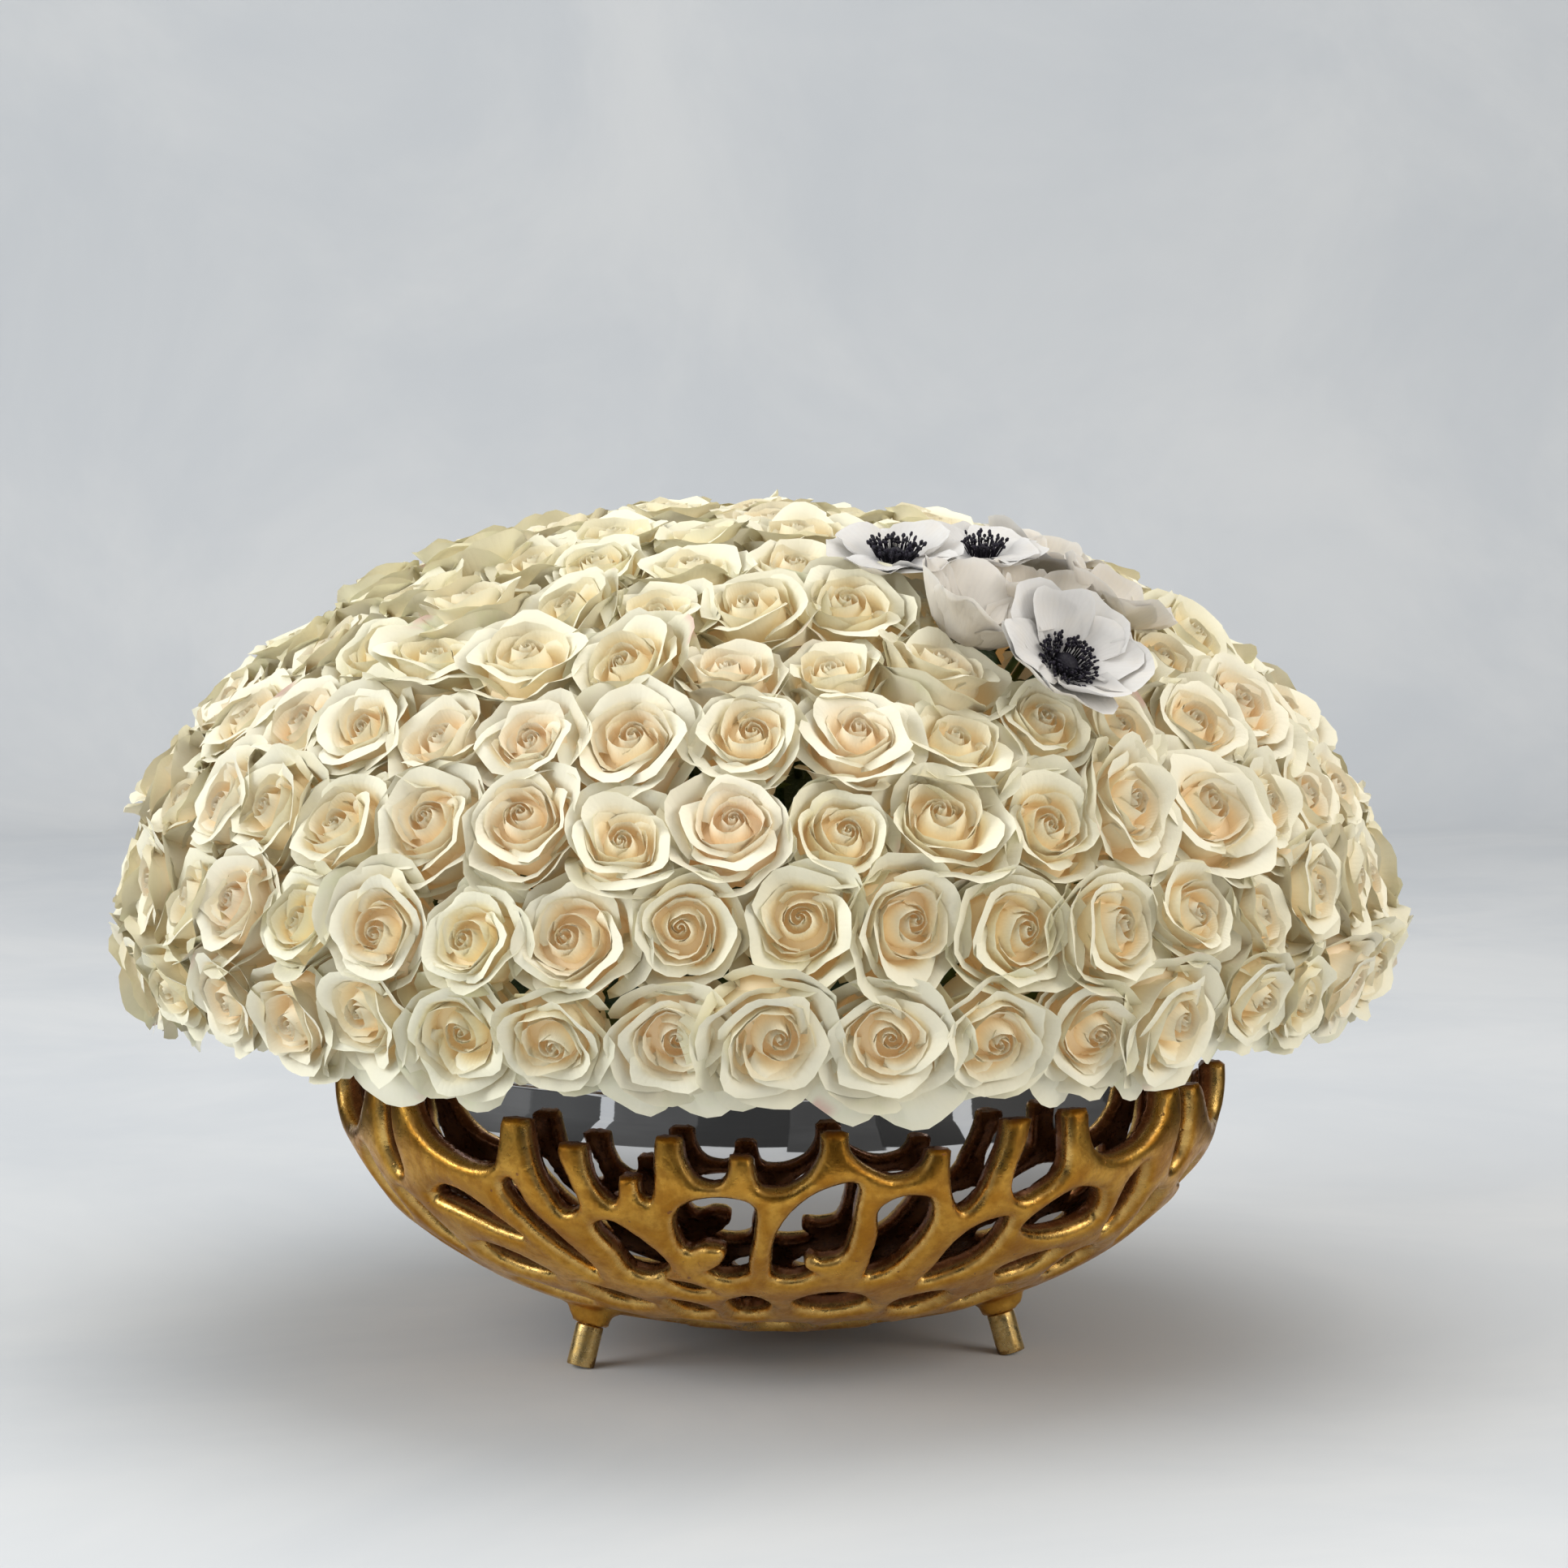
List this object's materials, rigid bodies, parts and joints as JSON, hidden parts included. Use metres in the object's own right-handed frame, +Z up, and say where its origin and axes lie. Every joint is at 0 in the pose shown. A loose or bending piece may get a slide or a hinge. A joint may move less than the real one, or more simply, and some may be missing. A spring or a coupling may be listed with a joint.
{
  "type": "floral table centerpiece",
  "caption": "Low dome of ivory roses with a cluster of white anemones, set in foam in a polished liner inside an openwork gilded bowl on short splayed legs",
  "frame": {"origin": "On the table, straight under the middle of the dome of heads; the bowl stands 14 mm to the right of it", "axes": "+Z up; -Y is the front, so two legs stand left and right of the front and one at the back; +X is to the right seen from the front"},
  "size_m": [0.6928, 0.6928, 0.458],
  "materials": {
    "gilded_casting": "satin",
    "leg_brass": "satin",
    "polished_steel": "polished",
    "wet_foam": "matte",
    "rose_petal": "matte",
    "anemone_petal": "matte",
    "anemone_heart": "matte",
    "greenery": "satin"
  },
  "bodies": {
    "root": {"basket": "gilded_casting", "leg_front_left": "leg_brass", "leg_front_right": "leg_brass", "leg_back": "leg_brass", "liner": "polished_steel", "floral_foam": "wet_foam", "roses_crown": "rose_petal", "roses_row_2_arc_1": "rose_petal", "roses_row_2_arc_2": "rose_petal", "roses_row_3_arc_1": "rose_petal", "roses_row_3_arc_2": "rose_petal", "roses_row_3_arc_3": "rose_petal", "roses_row_4_arc_1": "rose_petal", "roses_row_4_arc_2": "rose_petal", "roses_row_4_arc_3": "rose_petal", "roses_row_5_arc_1": "rose_petal", "roses_row_5_arc_2": "rose_petal", "roses_row_5_arc_3": "rose_petal", "roses_row_5_arc_4": "rose_petal", "roses_row_6_arc_1": "rose_petal", "roses_row_6_arc_2": "rose_petal", "roses_row_6_arc_3": "rose_petal", "roses_row_6_arc_4": "rose_petal", "roses_row_6_arc_5": "rose_petal", "roses_row_7_arc_1": "rose_petal", "roses_row_7_arc_2": "rose_petal", "roses_row_7_arc_3": "rose_petal", "roses_row_7_arc_4": "rose_petal", "roses_row_7_arc_5": "rose_petal", "roses_row_7_arc_6": "rose_petal", "roses_row_8_arc_1": "rose_petal", "roses_row_8_arc_2": "rose_petal", "roses_row_8_arc_3": "rose_petal", "roses_row_8_arc_4": "rose_petal", "roses_row_8_arc_5": "rose_petal", "roses_row_8_arc_6": "rose_petal", "roses_row_9_arc_1": "rose_petal", "roses_row_9_arc_2": "rose_petal", "roses_row_9_arc_3": "rose_petal", "roses_row_9_arc_4": "rose_petal", "roses_row_9_arc_5": "rose_petal", "roses_row_9_arc_6": "rose_petal", "anemone_1": "anemone_petal", "anemone_2": "anemone_petal", "anemone_3": "anemone_petal", "anemone_4": "anemone_petal", "anemone_5": "anemone_petal", "anemone_6": "anemone_petal", "anemone_7": "anemone_petal"}
  },
  "joints": []
}
